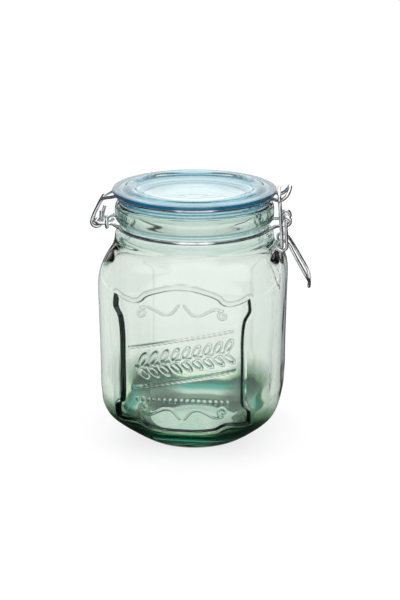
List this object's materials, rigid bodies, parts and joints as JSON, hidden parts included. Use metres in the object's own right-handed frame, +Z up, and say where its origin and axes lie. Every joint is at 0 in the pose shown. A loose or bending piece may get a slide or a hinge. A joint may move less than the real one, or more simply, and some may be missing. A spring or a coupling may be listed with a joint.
{
  "type": "clip-top preserving jar",
  "caption": "Rounded-square glass preserving jar with a dished glass lid, a clear sealing ring and a sprung wire closure: the lever frees the lid, which then hinges back on its wire bails.",
  "frame": {"origin": "centre of the round neck's axis at the plane the foot ring stands on", "axes": "+Z up along the neck's axis; +X toward the clamp and -X toward the hinge; +Y toward the back, along the hinge's axis"},
  "size_m": [0.1358, 0.1174, 0.1594],
  "materials": {
    "jar_glass": "clear pale green, polished",
    "lid_glass": "clear blue, polished",
    "seal_silicone": "translucent, satin",
    "neck_wire_front_steel": "bright drawn wire",
    "neck_wire_back_steel": "bright drawn wire",
    "lid_wire_steel": "bright drawn wire",
    "lever_steel": "bright drawn wire",
    "link_steel": "bright drawn wire"
  },
  "bodies": {
    "jar": {"jar": "jar_glass", "neck_wire_front": "neck_wire_front_steel", "neck_wire_back": "neck_wire_back_steel"},
    "lid": {"lid": "lid_glass", "gasket": "seal_silicone", "lid_wire": "lid_wire_steel"},
    "lever": {"lever": "lever_steel"},
    "link": {"link": "link_steel"}
  },
  "joints": [
    {"name": "lid_hinge", "type": "hinge", "parent": "jar", "child": "lid", "pos_m": [-0.0599, 0, 0.1358], "axis": [0, -1, 0], "range_deg": [0, 215]},
    {"name": "lever_pivot", "type": "hinge", "parent": "jar", "child": "lever", "pos_m": [0.0559, 0, 0.1385], "axis": [0, -1, 0], "range_deg": [0, 125]},
    {"name": "link_pivot", "type": "hinge", "parent": "lever", "child": "link", "pos_m": [0.0538, 0, 0.1236], "axis": [0, -1, 0], "range_deg": [-73, 0]}
  ],
  "couplings": [
    {"joint": "link_pivot", "follows": "lever_pivot", "ratio": -0.575}
  ]
}
